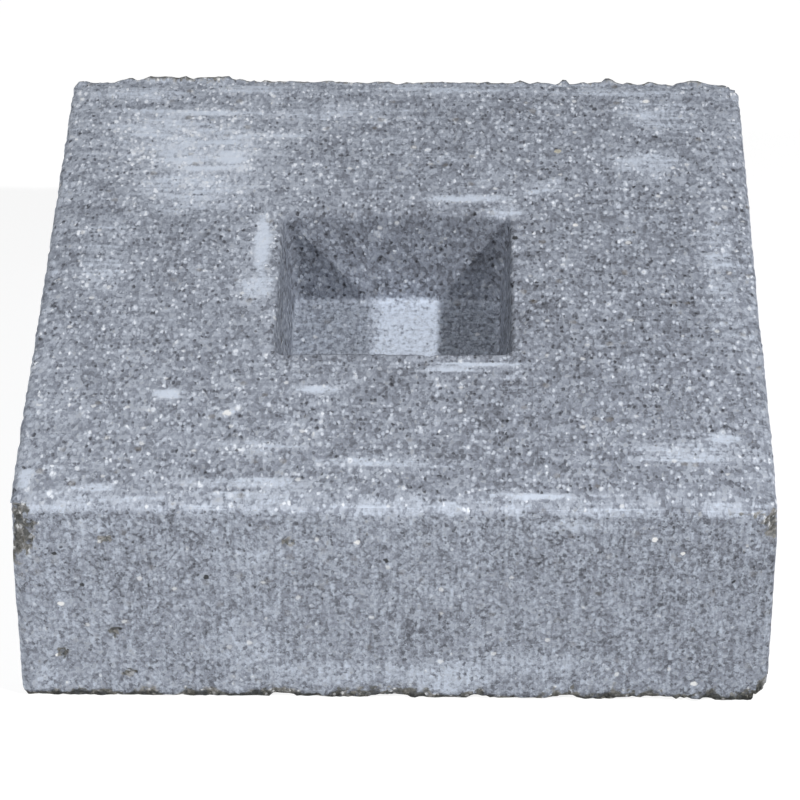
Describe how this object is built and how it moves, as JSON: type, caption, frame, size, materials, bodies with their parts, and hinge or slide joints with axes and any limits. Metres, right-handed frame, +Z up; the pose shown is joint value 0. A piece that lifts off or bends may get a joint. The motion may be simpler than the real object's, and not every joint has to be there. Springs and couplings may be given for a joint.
{
  "type": "concrete footing slab",
  "caption": "Square precast concrete footing slab with a shallow bevel round its top and a blind square pocket that seats a post foot.",
  "frame": {"origin": "middle of the underside, on the surface that the slab lies on", "axes": "+Z up through the post pocket's mouth, +X to the right and -Y towards the side with the broken foot edge"},
  "size_m": [0.3, 0.3, 0.1],
  "materials": {
    "concrete": "matt grey precast concrete, open and speckled, with paler cement skin in streaks, round the top's edges and on the pocket's floor"
  },
  "bodies": {
    "root": {"footing_slab": "concrete"}
  },
  "joints": []
}
